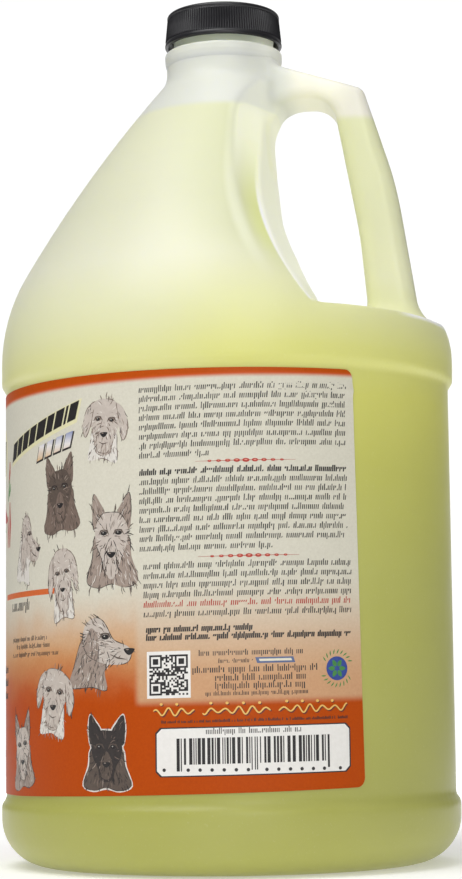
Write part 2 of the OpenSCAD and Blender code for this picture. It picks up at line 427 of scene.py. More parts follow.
def thread_ridge(root_r, crest_r, width, crest, z0, turns, first=0.0, steps=72):
    """A right-hand thread ridge that passes angle 0 at z0, with tapered ends."""
    profile = [(0, -width / 2), (0.55, -crest / 2 - 0.3), (1, -crest / 2), (1, crest / 2),
               (0.55, crest / 2 + 0.3), (0, width / 2)]
    count = int(turns * steps)
    verts = []
    for i in range(count + 1):
        a = 2 * math.pi * (first + i / steps)
        z = z0 + PITCH * (first + i / steps)
        fade = max(0.05, min(1.0, i / 8, (count - i) / 8))
        for depth, dz in profile:
            r = root_r + (crest_r - root_r) * depth * fade
            verts.append((r * math.cos(a), r * math.sin(a), z + dz * (0.4 + 0.6 * fade)))
    columns = len(profile)
    ends = [tuple(range(columns))[::-1], tuple(range(count * columns, (count + 1) * columns))]
    faces = [f[::-1] for f in grid_faces(count + 1, columns)] + [end[::-1] for end in ends]
    if crest_r < root_r:
        faces = [f[::-1] for f in faces]
    return verts, faces


def joined(*parts):
    """Several (verts, faces) as one."""
    verts, faces = [], []
    for part_verts, part_faces in parts:
        first = len(verts)
        verts += list(part_verts)
        faces += [tuple(i + first for i in f) for f in part_faces]
    return verts, faces


# ---- the blown body, as a distance field ----

def outline_distance(points, outline, skip_axis=False, chunk=6000):
    """Signed distance to a closed outline, negative inside. Edges on the axis can be left out."""
    a = np.asarray(outline, float)
    b = np.roll(a, -1, axis=0)
    edge = b - a
    length = np.maximum((edge ** 2).sum(1), 1e-12)
    on_axis = (np.abs(a[:, 0]) < 1e-9) & (np.abs(b[:, 0]) < 1e-9)
    found = np.empty(len(points))
    for start in range(0, len(points), chunk):
        p = points[start:start + chunk, None, :]
        t = np.clip(((p - a) * edge).sum(2) / length, 0, 1)
        gap = ((p - a - t[..., None] * edge) ** 2).sum(2)
        if skip_axis:
            gap[:, on_axis] = 1e9
        rises = (a[:, 1] > p[..., 1]) != (b[:, 1] > p[..., 1])
        safe = np.where(edge[:, 1] == 0, 1.0, edge[:, 1])
        crossing = a[:, 0] + (p[..., 1] - a[:, 1]) * edge[:, 0] / safe
        inside = (rises & (crossing > p[..., 0])).sum(1) % 2 == 1
        found[start:start + chunk] = np.sqrt(gap.min(1)) * np.where(inside, -1, 1)
    return found


def smooth_max(a, b, k):
    h = np.maximum(k - np.abs(a - b), 0) / k
    return np.maximum(a, b) + h * h * k / 4


def smooth_min(a, b, k):
    return -smooth_max(-a, -b, k)


PANEL_LOW = 23.0
PANEL_HIGH = 158.5
SHOULDER_Z = 168.0
TURN_R = 60.0
TURN_ANGLE = 30.0
CROWN_R = 460.0
NECK_FILLET = 8.0
BASE_CORNER_R = 16.0
RING_W = 9.0
BASE_PUSH = 5.0
SHELF_Z = 179.0
BORE_WALL = 2.2              # least thickness left round the open bore
WALL_T = 1.6                 # between the skin and what fills it
DRAFT = 4.5
POCKET_X = 15.4
POCKET_RUN = 20.0
POCKET_TURN_Z = 232.0
POCKET_POWER = 2.1
FAR = 60.0


def body_outline():
    """Half outline of the body from the middle of its base up to the neck, closed on the axis."""
    turn_end_r = band_r - TURN_R * (1 - math.cos(math.radians(TURN_ANGLE)))
    turn_end_z = SHOULDER_Z + TURN_R * math.sin(math.radians(TURN_ANGLE))
    crown_x = turn_end_r - CROWN_R * math.cos(math.radians(TURN_ANGLE))
    crown_z = turn_end_z - CROWN_R * math.sin(math.radians(TURN_ANGLE))
    crown_end = math.degrees(math.acos((NECK_R + NECK_FILLET - crown_x) / (CROWN_R + NECK_FILLET)))
    fillet_z = crown_z + (CROWN_R + NECK_FILLET) * math.sin(math.radians(crown_end))
    ring_r = band_r - BASE_CORNER_R - RING_W
    base = rounded_line([(0, BASE_PUSH, 0), (ring_r - 14, BASE_PUSH, 12), (ring_r - 2, 0, 8),
                         (ring_r + RING_W, 0, 0)], 4)
    wall = rounded_line([(band_r, BASE_CORNER_R + 1, 0), (band_r, PANEL_LOW - 2.6, 2.2),
                         (panel_r, PANEL_LOW - 0.3, 1.6), (panel_r, PANEL_HIGH + 0.3, 1.6),
                         (band_r, PANEL_HIGH + 2.6, 2.2), (band_r, SHOULDER_Z - 1, 0)], 4)
    return (base
            + arc(band_r - BASE_CORNER_R, BASE_CORNER_R, BASE_CORNER_R, -90, 0, 10)[1:]
            + wall
            + arc(band_r - TURN_R, SHOULDER_Z, TURN_R, 0, TURN_ANGLE, 8)
            + arc(crown_x, crown_z, CROWN_R, TURN_ANGLE, crown_end, 10)[1:]
            + arc(NECK_R + NECK_FILLET, fillet_z, NECK_FILLET, 180 + crown_end, 180, 6)[1:]
            + [(NECK_R, NECK_JOIN_Z), (0, NECK_JOIN_Z)])


def pocket_edge(z):
    """How far from the axis the pocket's wall stands at a height, beside the mould's faces."""
    return POCKET_X + POCKET_RUN * (max(POCKET_TURN_Z - z, 0) / (POCKET_TURN_Z - SHELF_Z)) ** POCKET_POWER


def pocket_outline():
    """The hand's opening beside the handle, seen along Y."""
    far = band_r + 30
    low = SHELF_Z + 4
    curve = [(pocket_edge(z), z) for z in np.linspace(POCKET_TURN_Z, low, 36)]
    return (rounded_line([(far, 260, 0), (POCKET_X, 260, 12.5), curve[0] + (0,)], 8) + curve[1:-1]
            + rounded_line([curve[-1] + (0,), (pocket_edge(SHELF_Z), SHELF_Z, 6), (far, SHELF_Z, 0)], 6))


def pocket_draft(y, z):
    """How much the pocket's wall swells towards the parting plane, where the mould's halves meet."""
    most = np.interp(z, [181, 191, 205, 245], [0.0, DRAFT, DRAFT, 0.5])
    half_depth = np.interp(z, [180, 205, 230, 260], [67, 66, 52, 30])
    return most * (1 - np.minimum(np.abs(y) / half_depth, 1) ** 1.5)


HANDLE_HALF_W = 12.6


def handle_outlines():
    """The handle seen along Y: its outer line, closed inside the hand hole, and the line of that hole."""
    outer = rounded_line([(8, 275.0, 0), (49.0, 262.0, 4.5), (59.6, 229, 120), (66.6, 184, 200),
                          (67.8, 165, 0)], 10) + [(50, 165), (36, 238), (8, 238)]
    hole = rounded_line([(POCKET_X + 0.4, 160, 0), (POCKET_X + 0.4, 259.3, 12.5), (38.3, 259.3, 9),
                         (46.9, 212, 150), (49.2, 188, 60), (50.3, 160, 0)], 10)
    return outer, hole


def handle_flat(xz, outlines):
    """Distance to the handle in its own plane."""
    outer, hole = outlines
    return np.maximum(outline_distance(xz, outer), -outline_distance(xz, hole))


def handle_round(flat, y, z):
    """Distance to the handle, with its edges rounded over."""
    rounding = np.interp(z, [240, 262], [5.6, 3.6])
    out_flat = flat + rounding
    out_y = np.abs(y) - (HANDLE_HALF_W - rounding)
    corner = np.sqrt(np.maximum(out_flat, 0) ** 2 + np.maximum(out_y, 0) ** 2)
    return corner + np.minimum(np.maximum(out_flat, out_y), 0) - rounding


def combine(revolved, pocket, handle, z):
    """The body less the pocket, whose rim is chamfered, with the handle melted on."""
    along = np.interp(z, [180, 200, 240], [4.0, 7.5, 8.5])
    deep = np.interp(z, [180, 205, 240], [1.2, 2.6, 9.0])
    chamfer = (revolved / deep - pocket / along + 1) / np.hypot(1 / deep, 1 / along)
    body = smooth_max(smooth_max(revolved, chamfer, 1.6), -pocket, 0.9)
    reach = np.interp(z, [185, 245], [11.0, 4.5])
    return smooth_min(body, handle, reach)


def open_bore(body, radius, z):
    """The body with the bore left open and its top cut level."""
    bore = np.maximum(radius - BORE_R, (fill_z - 2) - z)
    bore = smooth_max(bore, body + BORE_WALL, 1.0)
    return np.maximum(np.maximum(body, -bore), z - NECK_JOIN_Z)


def jug_distance(points, body, pocket, outlines):
    """Distance to the finished body at any points. Away from the pocket and the handle, both count as far."""
    x, y, z = points.T
    radius = np.hypot(x, y)
    revolved = outline_distance(np.stack([radius, z], 1), body, skip_axis=True)
    scooped = np.full(len(x), FAR)
    near = (x > 4) & (z > SHELF_Z - 14)
    moved = x[near] - pocket_draft(y[near], z[near])
    scooped[near] = outline_distance(np.stack([moved, z[near]], 1), pocket)
    handle = np.full(len(x), FAR)
    near &= np.abs(y) < HANDLE_HALF_W + 14
    handle[near] = handle_round(handle_flat(points[near][:, [0, 2]], outlines), y[near], z[near])
    return open_bore(combine(revolved, scooped, handle, z), radius, z)


def level_surface(field, low, step):
    """Quads of the zero level of a sampled field, with one point in each cell that it crosses."""
    inside = field < 0
    n = np.array(field.shape) - 1
    count = np.zeros(n, np.int8)
    for i in (0, 1):
        for j in (0, 1):
            for k in (0, 1):
                count += inside[i:i + n[0], j:j + n[1], k:k + n[2]]
    crossed = (count > 0) & (count < 8)
    index = np.full(n, -1, np.int64)
    cells = np.argwhere(crossed)
    index[crossed] = np.arange(len(cells))
    total = np.zeros((len(cells), 3))
    number = np.zeros(len(cells))
    faces = []
    for axis in range(3):
        unit = np.eye(3, dtype=int)[axis]
        u, v = np.eye(3, dtype=int)[(axis + 1) % 3], np.eye(3, dtype=int)[(axis + 2) % 3]
        for offset in (0 * u, u, v, u + v):
            a = cells + offset
            b = a + unit
            fa, fb = field[tuple(a.T)], field[tuple(b.T)]
            cut = (fa < 0) != (fb < 0)
            t = fa[cut] / (fa[cut] - fb[cut])
            total[cut] += offset + t[:, None] * unit
            number[cut] += 1
        near = inside[tuple(slice(0, -1) if i == axis else slice(1, -1) for i in range(3))]
        far = inside[tuple(slice(1, None) if i == axis else slice(1, -1) for i in range(3))]
        edges = np.argwhere(near != far)
        outward = near[tuple(edges.T)]
        edges = edges + u + v
        quad = np.stack([index[tuple(e.T)] for e in (edges - u - v, edges - v, edges, edges - u)], 1)
        quad[~outward] = quad[~outward][:, ::-1]
        faces.append(quad)
    return low + (cells + total / number[:, None]) * step, np.concatenate(faces)


def jug_field(step, body, pocket, outlines):
    """The solid body's distance on a grid: values, the first one's place, radii and heights."""
    half = math.ceil((band_r + 3) / step)
    side = (np.arange(-half, half) + 0.5) * step
    up = np.arange(-2.5 * step, NECK_JOIN_Z + 3 * step, step)
    radius = np.hypot(*np.meshgrid(side, side, indexing="ij"))
    radii, back = np.unique(np.round(radius, 4), return_inverse=True)
    rz = np.stack(np.meshgrid(radii, up, indexing="ij"), -1).reshape(-1, 2)
    turned = outline_distance(rz, body, skip_axis=True).reshape(len(radii), len(up))
    revolved = turned[back.reshape(radius.shape)]
    xz = np.stack(np.meshgrid(side, up, indexing="ij"), -1).reshape(-1, 2)
    flat = outline_distance(xz, pocket).reshape(len(side), len(up))
    scooped = np.stack([np.stack([np.interp(side - shift, side, column)
                                  for shift, column in zip(pocket_draft(y, up), flat.T)], 1)
                        for y in side], 1)
    arm = handle_flat(xz, outlines).reshape(len(side), len(up))[:, None, :]
    handle = handle_round(arm, side[None, :, None], up[None, None, :])
    field = combine(revolved, scooped, handle, up[None, None, :])
    return field, np.array([side[0], side[0], up[0]]), radius[..., None], up[None, None, :]


def jug_skin():
    """Vertices and quads of the blown body, drawn onto its exact surface."""
    step = 1.3
    shapes = body_outline(), pocket_outline(), handle_outlines()
    field, low, radius, up = jug_field(step, *shapes)
    points, faces = level_surface(open_bore(field, radius, up), low, step)
    reach = 0.25
    for _ in range(2):
        distance = jug_distance(points, *shapes)
        slope = np.stack([jug_distance(points + reach * e, *shapes) - jug_distance(points - reach * e,
                                                                                   *shapes)
                          for e in np.eye(3)], 1) / (2 * reach)
        size = np.maximum((slope ** 2).sum(1), 0.25)
        move = slope * (distance / size)[:, None]
        points = points - np.clip(move, -0.5 * step, 0.5 * step)
    return points, faces


def liquid_body():
    """Vertices and quads of what fills the body, inside its wall and up to the level."""
    step = 2.6
    field, low, _, up = jug_field(step, body_outline(), pocket_outline(), handle_outlines())
    return level_surface(np.maximum(field + WALL_T, up - fill_z), low, step)


def neck_finish():
    """Bead, sealing rim, bore and thread, standing on the blown body."""
    outline = rounded_line([(BORE_R, NECK_JOIN_Z, 0), (19.6, NECK_JOIN_Z, 0.01), (19.6, 272.4, 0.01),
                            (BEAD_R - 0.2, 274.2, 1.2), (BEAD_R, 275.6, 2.0), (BEAD_R, 278.2,
                                                                               0.9), (FINISH_R, 278.3, 0.6),
                            (FINISH_R, rim_z, 0.5), (BORE_R, rim_z, 0.4), (BORE_R, NECK_JOIN_Z + 1, 0)], 4)
    verts, faces = lathe(outline, 144)
    ridge = thread_ridge(FINISH_R - 0.2, THREAD_R, 2.5, 0.9, rim_z - THREAD_DROP - PITCH * THREAD_TURNS,
                         THREAD_TURNS)
    return joined((verts, faces), ridge)


# ---- cap and liner ----

CAP_RIBS = 144
RIB_DEPTH = 0.34
CAP_BORE_R = 18.95


def cap_rib(a, depth):
    """How far the skirt lies inside its ribs' tips at an angle."""
    wave = 0.5 - 0.5 * math.cos(a * CAP_RIBS)
    return depth * wave ** 0.6


def screw_cap():
    """Ribbed skirt with a plain bead at its foot and a rounded top edge, hollow inside."""
    h = cap_high.z - cap_low.z
    foot_r = cap_high.y
    top_r = foot_r - 0.8
    inner_top = liner_high.z - cap_low.z
    rows = [(0, inner_top, 0), (9, inner_top, 0), (CAP_BORE_R - 0.5, inner_top, 0),
            (CAP_BORE_R, inner_top - 0.5, 0), (CAP_BORE_R, 5, 0), (CAP_BORE_R, 0.5, 0),
            (CAP_BORE_R + 0.35, 0, 0), (foot_r - 0.45, 0, 0), (foot_r - 0.12, 0.16, 0), (foot_r, 0.5, 0),
            (foot_r - 0.03, 1.0, 0), (foot_r - 0.16, 1.4, 0), (foot_r - 0.34, 1.6, 0), (foot_r - 0.2, 1.9,
                                                                                        0.45),
            (foot_r - 0.14, 2.3, 1), (foot_r - 0.5, 6.0, 1), (top_r, h - 2.3, 1), (top_r - 0.03, h - 1.95,
                                                                                   0.5),
            (top_r - 0.26, h - 1.62, 0), (top_r - 0.2, h - 1.45, 0), (top_r - 0.02, h - 1.25, 0)]
    rows += [(r, z, 0) for r, z in arc(top_r - 1.05, h - 1.05, 1.05, 0, 90, 6)]
    rows += [(17.4, h - 0.02, 0), (16.9, h - 0.16, 0), (16.2, h - 0.16, 0), (8, h - 0.14, 0),
             (0, h - 0.14, 0)]
    depths = [row[2] * RIB_DEPTH for row in rows]
    outline = [(r, cap_low.z + z) for r, z, _ in rows]
    columns = CAP_RIBS * 6
    body = lathe(outline, columns, groove=lambda row, a: cap_rib(a, depths[row]) if depths[row] else 0)
    thread_z = rim_z - THREAD_DROP - PITCH * THREAD_TURNS - PITCH / 2
    ridge = thread_ridge(CAP_BORE_R + 0.2, CAP_BORE_R - 1.1, 2.2, 0.8, thread_z, THREAD_TURNS,
                         first=13 / 36)
    return joined(body, ridge)


def foam_liner():
    """A thin disc with eased edges and the ring that the rim has pressed into it."""
    r, low, high = liner_high.y, liner_low.z, liner_high.z
    return lathe([(0, low), (BORE_R - 0.6, low), (BORE_R - 0.1, low + 0.1), (FINISH_R + 0.1, low + 0.1),
                  (FINISH_R + 0.6, low), (r - 0.3, low), (r - 0.05, low + 0.2), (r, (low + high) / 2),
                  (r - 0.05, high - 0.2), (r - 0.3, high), (0, high)], 96)


# ---- the label ----

LABEL_START = 49.2          # angle of its right-hand end, clockwise from the handle seen from above
LABEL_END = 311.5
TILT = 0.016                # how far the print rises per millimetre towards the right
TILT_U = 74.0               # where along the label the tilt leaves heights as they are
ROW_PITCH = 2.96            # between rows of body text
TOP_BAND_Z = 154.6
LABEL_LOW = 25.9
LABEL_HIGH = 157.2
LABEL_CORNER = 3.0


def label_point(u, z, lift=0.0):
    """A point on the label's face from the distance along it and the height."""
    a = math.radians(LABEL_START) + u / label_r
    r = label_r - 0.06 + crease(u, z) + lift
    return (r * math.cos(a), -r * math.sin(a), z)


CREASES = [(6.0, 151.5, 13.0, 0.6, 10), (22.0, 152.5, 9.0, 0.5, -14), (38.0, 153.2, 8.0, 0.45, 8),
           (14.0, 147.0, 9.0, 0.35, 24), (50.0, 151.5, 7.0, 0.3, -20)]


def crease(u, z):
    """Height of the small wrinkles near the label's upper right corner."""
    total = 0.0
    for cu, cz, length, height, slope in CREASES:
        s = math.sin(math.radians(slope))
        c = math.cos(math.radians(slope))
        along = (u - cu) * c + (z - cz) * s
        across = -(u - cu) * s + (z - cz) * c
        total += height * math.exp(-(along / length) ** 2 - (across / 1.3) ** 2)
    return total


def label_edge(u, length):
    """Lowest and highest height of the label at u, with rounded corners and a slight skew."""
    low = LABEL_LOW + 1.2 - 0.022 * min(u, 130)
    high = LABEL_HIGH + 0.5 * math.exp(-u / 60)
    inset = min(u, length - u)
    if inset < LABEL_CORNER:
        cut = LABEL_CORNER - math.sqrt(LABEL_CORNER ** 2 - (LABEL_CORNER - inset) ** 2)
        return low + cut, high - cut
    return low, high


def label_skew(u, z):
    """How far the sheet's right-hand end is cut back, more at the top, as the label sits askew."""
    return (1.3 + 2.4 * (z - LABEL_LOW) / (LABEL_HIGH - LABEL_LOW)) * max(0, 1 - u / 30)


def label_sheet():
    """The label as a closed thin sheet that follows the panel."""
    length = math.radians(LABEL_END - LABEL_START) * label_r
    ends = [LABEL_CORNER * (1 - math.cos(math.radians(a))) for a in range(0, 91, 15)]
    middle = np.linspace(ends[-1], length - ends[-1], 330)[1:-1].tolist()
    across = ends + middle + [length - e for e in reversed(ends)]
    rows = 100
    sides = []
    for lift in (0.0, -label_t):
        verts = []
        for u in across:
            low, high = label_edge(u, length)
            heights = np.linspace(low, high, rows).tolist()
            verts += [label_point(u + label_skew(u, z), z, lift) for z in heights]
        sides.append(verts)
    count = len(across)
    front = grid_faces(count, rows, close_columns=False)
    first = count * rows
    rear = [tuple(i + first for i in f[::-1]) for f in front]
    edge = ([i * rows for i in range(count)] + [(count - 1) * rows + j for j in range(1, rows)]
            + [i * rows + rows - 1 for i in range(count - 2, -1, -1)] + list(range(rows - 2, 0, -1)))
    rim = [(b, b + first, a + first, a) for a, b in zip(edge, edge[1:] + edge[:1])]
    return sides[0] + sides[1], front + rear + rim


class Print:
    """Inked shapes on the label, each a closed sliver that stands just proud of the paper."""

    def __init__(self, name, inks):
        self.name = name
        self.inks = inks
        self.names = list(inks)
        self.verts = []
        self.faces = []
        self.indices = []

    def shape(self, outline, colour, layer=0):
        """A closed outline of (u, z) points, cut into strips so that it follows the curve."""
        us = [p[0] for p in outline]
        lowest, highest = min(us), max(us)
        strips = max(1, math.ceil((highest - lowest) / 2.6))
        for i in range(strips):
            left = lowest + (highest - lowest) * i / strips
            right = lowest + (highest - lowest) * (i + 1) / strips
            part = outline if strips == 1 else clip(clip(outline, left, 1), right, -1)
            if len(part) > 2:
                self.prism(part, colour, layer)

    def prism(self, part, colour, layer):
        """One strip as a closed prism."""
        part = [p for p, q in zip(part, part[1:] + part[:1]) if math.dist(p, q) > 0.004]
        if len(part) < 3 or abs(area(part)) < 0.002:
            return
        if area(part) < 0:
            part = part[::-1]
        count = len(part)
        first = len(self.verts)
        top = 0.03 + 0.012 * layer
        self.verts += [label_point(u, z, top) for u, z in part]
        self.verts += [label_point(u, z, -0.03) for u, z in part]
        triangles = tessellate_polygon([[Vector((u, z, 0)) for u, z in part]])
        faces = []
        for t in triangles:
            corners = [part[i] for i in t]
            face = tuple(t) if area(corners) < 0 else tuple(t)[::-1]
            faces.append(face)
            faces.append(tuple(i + count for i in face[::-1]))
        for i in range(count):
            j = (i + 1) % count
            faces.append((i, j, j + count, i + count))
        self.faces += [tuple(i + first for i in f) for f in faces]
        self.indices += [self.names.index(colour)] * len(faces)

    def box(self, u0, u1, z0, z1, colour, layer=0, lean=0.0):
        self.shape([(u0, tilted(z0, u0)), (u1, tilted(z0, u1)),
                    (u1 - lean, tilted(z1, u1)), (u0 - lean, tilted(z1, u0))], colour, layer)

    def ellipse(self, u, z, ru, rz, colour, layer=0, steps=20):
        self.shape([(u + ru * math.cos(2 * math.pi * i / steps), z + rz * math.sin(2 * math.pi * i / steps))
                    for i in range(steps)], colour, layer)

    def stroke(self, points, width, colour, layer=0):
        """A line of the given width that tapers at both ends."""
        pts = [np.array(p, float) for p in points]
        left, right = [], []
        for i, p in enumerate(pts):
            way = pts[min(i + 1, len(pts) - 1)] - pts[max(i - 1, 0)]
            side = np.array([-way[1], way[0]]) / max(np.linalg.norm(way), 1e-6)
            half = width / 2 * (0.35 if i in (0, len(pts) - 1) else 1.0)
            left.append(tuple(p + side * half))
            right.append(tuple(p - side * half))
        self.shape(left + right[::-1], colour, layer)

    def finish(self):
        make_piece(self.name, self.verts, self.faces, list(self.inks.values()), "bottle",
                   self.indices, sharp=30)


def area(points):
    """Signed area of a flat outline."""
    return sum(a[0] * b[1] - b[0] * a[1] for a, b in zip(points, points[1:] + points[:1])) / 2


def clip(points, limit, side):
    """The part of an outline with u above the limit (side 1) or below it (side -1)."""
    kept = []
    for a, b in zip(points, points[1:] + points[:1]):
        a_in = side * (a[0] - limit) >= 0
        b_in = side * (b[0] - limit) >= 0
        if a_in:
            kept.append(a)
        if a_in != b_in:
            t = (limit - a[0]) / (b[0] - a[0])
            kept.append((limit, a[1] + t * (b[1] - a[1])))
    return kept


def tilted(z, u):
    """Height of something printed level at z, on the slightly tilted artwork."""
    return z + TILT * (TILT_U - min(u, 150.0))


def smooth_loop(points, steps=4):
    """A closed Catmull-Rom curve through the points."""
    n = len(points)
    curve = []
    for i in range(n):
        p0, p1, p2, p3 = (np.array(points[(i + k) % n], float) for k in (-1, 0, 1, 2))
        for s in range(steps):
            t = s / steps
            curve.append(tuple(0.5 * (2 * p1 + (p2 - p0) * t + (2 * p0 - 5 * p1 + 4 * p2 - p3) * t * t
                                      + (3 * p1 - p0 - 3 * p2 + p3) * t ** 3)))
    return curve


# ---- greeked text: rows of short strokes with no letters in them ----

def text_row(art, u_left, u_right, z, colour, x_height=1.45, bold=1.0, advance=1.3, lean=0.12, layer=0):
    """Word-like groups of separate ticks from u_left to u_right, which is the smaller of the two."""
    u = u_left
    pitch = advance / 2
    while u > u_right + pitch:
        for _ in range(min(rng.randint(4, 20), int((u - u_right) / pitch))):
            tick(art, u, z - x_height / 2, pitch, x_height, bold, colour, lean, layer)
            u -= pitch
        u -= pitch * 1.5


def tick(art, u, foot, pitch, x_height, bold, colour, lean, layer):
    """One upright tick. Most are as tall as the row, a few stand higher, hang lower or are only dots."""
    low, high = rng.choice(((0, 1),) * 7 + ((0, 1.4), (0, 1.4), (-0.35, 1), (0, 0.35), (0.55, 1)))
    thick = min(pitch * 0.48 * bold * rng.uniform(0.85, 1.15), pitch * 0.78)
    art.box(u, u - thick, foot + low * x_height, foot + high * x_height, colour, layer, lean * x_height)


def bead_divider(art, u_left, u_right, z, beads=9):
    """A thin rule with a row of lens-shaped beads."""
    art.stroke([(u_left, tilted(z, u_left)), ((u_left + u_right) / 2, tilted(z, 40)),
                (u_right, tilted(z, u_right))], 0.22, "red")
    middle = (u_left + u_right) / 2
    reach = (u_left - u_right) * 0.36
    for i in range(beads):
        at = middle + reach * (2 * i / (beads - 1) - 1)
        size = 1.0 - 0.45 * abs(2 * i / (beads - 1) - 1)
        art.ellipse(at, tilted(z, at), 1.15 * size, 0.62 * size, "red", 1, 14)
        art.ellipse(at, tilted(z, at) + 0.12, 0.5 * size, 0.18 * size, "blush", 2, 10)


def text_panel(inks):
    art = Print("label_text", inks)
    left, right = 73.8, 6.0
    for top, rows, last in ((151.0, 8, 50.5), (124.9, 9, 31.0)):
        for i in range(rows):
            end = last if i == rows - 1 else right
            text_row(art, left, end, top - ROW_PITCH * i, "dark",
                     bold=1.45 if i == 0 and rows == 9 else 1.0)
    for i in range(6):
        colour = "red" if i == 4 else "dark"
        text_row(art, left - 1.2, right - 1, 95.6 - ROW_PITCH * i, colour)
    text_row(art, left - 1.9, 38.0, 76.0, "dark", bold=1.9, advance=1.2)
    text_row(art, left - 1.9, right - 1, 73.5, "dark", bold=1.9, advance=1.2)
    bead_divider(art, 55.5, 24.0, 127.8)
    bead_divider(art, 55.0, 23.2, 98.2)
    for z, left_end, right_end, size in ((68.3, 55, 22, 1.3), (63.2, 57, 17, 1.5), (60.6, 50, 21, 1.5),
                                         (58.2, 50, 21, 1.5), (55.9, 53, 20, 1.0)):
        text_row(art, left_end, right_end, z, "dark", x_height=size, advance=size * 0.9, lean=0)
    text_row(art, 49, 38, 65.8, "dark", x_height=1.0, advance=0.9)
    art.box(37, 25, 65.0, 66.8, "slate", 0, -0.6)
    art.box(36.2, 26.0, 65.6, 66.3, "cream", 1, -0.3)
    art.finish()


def square_code(inks):
    """A generic pattern of little squares in a white box, which encodes nothing."""
    art = Print("label_square_code", inks)
    art.box(71.6, 57.6, 55.0, 69.4, "white")
    cells = 21
    u0, z0 = 70.8, 55.9
    size = 12.4 / cells
    eyes = ((0, 0), (0, cells - 7), (cells - 7, cells - 7))
    for i in range(cells):
        for j in range(cells):
            eye = next(((a, b) for a, b in eyes if a <= i < a + 7 and b <= j < b + 7), None)
            if eye:
                ring = max(abs(i - eye[0] - 3), abs(j - eye[1] - 3))
                dark = ring != 2
            else:
                dark = rng.random() < 0.5
            if dark:
                art.box(u0 - i * size, u0 - (i + 1) * size, z0 + j * size, z0 + (j + 1) * size, "black", 1)
    art.finish()


def bar_code(inks):
    """A white box with a serrated border and bars of chance widths, which encode nothing."""
    art = Print("label_bar_code", inks)
    left, right, low, high = 69.0, 6.6, 30.9, 46.0
    corner = 1.6
    frame_line = [(left - corner, low), (right + corner, low), (right, low + corner),
                  (right, high - corner),
                  (right + corner, high), (left - corner, high), (left, high - corner), (left,
                                                                                         low + corner)]
    art.shape([(u, tilted(z, u)) for u, z in frame_line], "black")
    art.shape([((u - 37.8) * 0.985 + 37.8, tilted((z - 38.45) * 0.95 + 38.45, u)) for u, z in frame_line],
              "white", 1)
    text_row(art, 53, 23, 44.4, "dark", x_height=1.3, advance=1.15, lean=0, layer=2)
    u = 62.2
    while u > 13.8:
        width = rng.choice((0.33, 0.33, 0.66, 0.99))
        guard = u > 60.6 or 37.2 < u < 39.2 or u < 15.4
        art.box(u, u - width, 32.6 if guard else 34.6, 42.6, "black", 2)
        u -= width + rng.choice((0.33, 0.33, 0.66, 0.99))
    for at in (66.2, 10.4) + tuple(58.6 - i * 3.7 - (2.0 if i > 5 else 0) for i in range(12)):
        art.ellipse(at, 33.2, 0.55, 0.55, "dark", 2, 12)
    art.finish()


def badge(inks):
    """A small round badge: a disc with six petals, and leaf dashes round it."""
    art = Print("label_badge", inks)
    cu, cz, r = 11.0, 63.8, 3.7

    def round_it(reach, a):
        return (cu + reach * math.cos(a), cz + reach * math.sin(a))

    art.ellipse(cu, cz, r, r, "blue", 0, 32)
    for i in range(6):
        a = math.pi * i / 3
        art.shape(smooth_loop([round_it(0.7, a), round_it(1.8, a + 0.42), round_it(3.0, a),
                               round_it(1.8, a - 0.42)],
                              3), "green", 1)
    for i in range(24):
        a = 2 * math.pi * i / 24
        if abs(math.sin(a)) > 0.28:
            art.stroke([round_it(r + 0.8, a), round_it(r + 1.5, a + 0.06), round_it(r + 2.2, a + 0.12)],
                       0.45, "green")
    art.finish()


def wave(u_left, u_right, z, tall, run, phase):
    """Points along a wave whose height swells and fades on the way."""
    count = int((u_left - u_right) / run * 14)
    points = []
    for i in range(count + 1):
        u = u_left - (u_left - u_right) * i / count
        swell = 0.72 + 0.28 * math.sin(u * 0.41 + phase)
        points.append((u, tilted(z, u) + tall * swell * math.sin(2 * math.pi * (u_left - u) / run + phase)))
    return points


def scroll_line(inks):
    """A gold wave with a dark shadow, and a serrated rule below it."""
    art = Print("label_flourish", inks)
    words = ((69.6, 56.5), (54.0, 33.0), (30.5, 7.6))
    for shift, colour, layer, width in ((0.3, "maroon", 0, 0.62), (0.0, "gold", 1, 0.46)):
        for left, right in words:
            art.stroke(wave(left - shift, right - shift, 50.8 - shift, 1.25, 4.2, left), width, colour,
                       layer)
            for i in range(int((left - right) / 5)):
                art.ellipse(left - 2.6 - 5 * i - shift, tilted(53.2, left) - shift, 0.5, 0.42, colour,
                            layer, 10)
    for i in range(150):
        u = 67.0 - i * 0.4
        if rng.random() < 0.8:
            art.box(u, u - 0.24, 47.3, 47.3 + rng.uniform(0.5, 1.0), "black", 1)
    art.finish()


# ---- drawn dogs: three plain kinds of head, sketched in sepia ----

def even(top, side, foot):
    """A loop that is the same on both sides, from its left side, its top and its foot."""
    return [(0, top)] + side + [(0, foot)] + [(-x, y) for x, y in reversed(side)]


def ears(side):
    """The left ear, and its mirror image."""
    return [("ear", side), ("ear", [(-x, y) for x, y in side])]


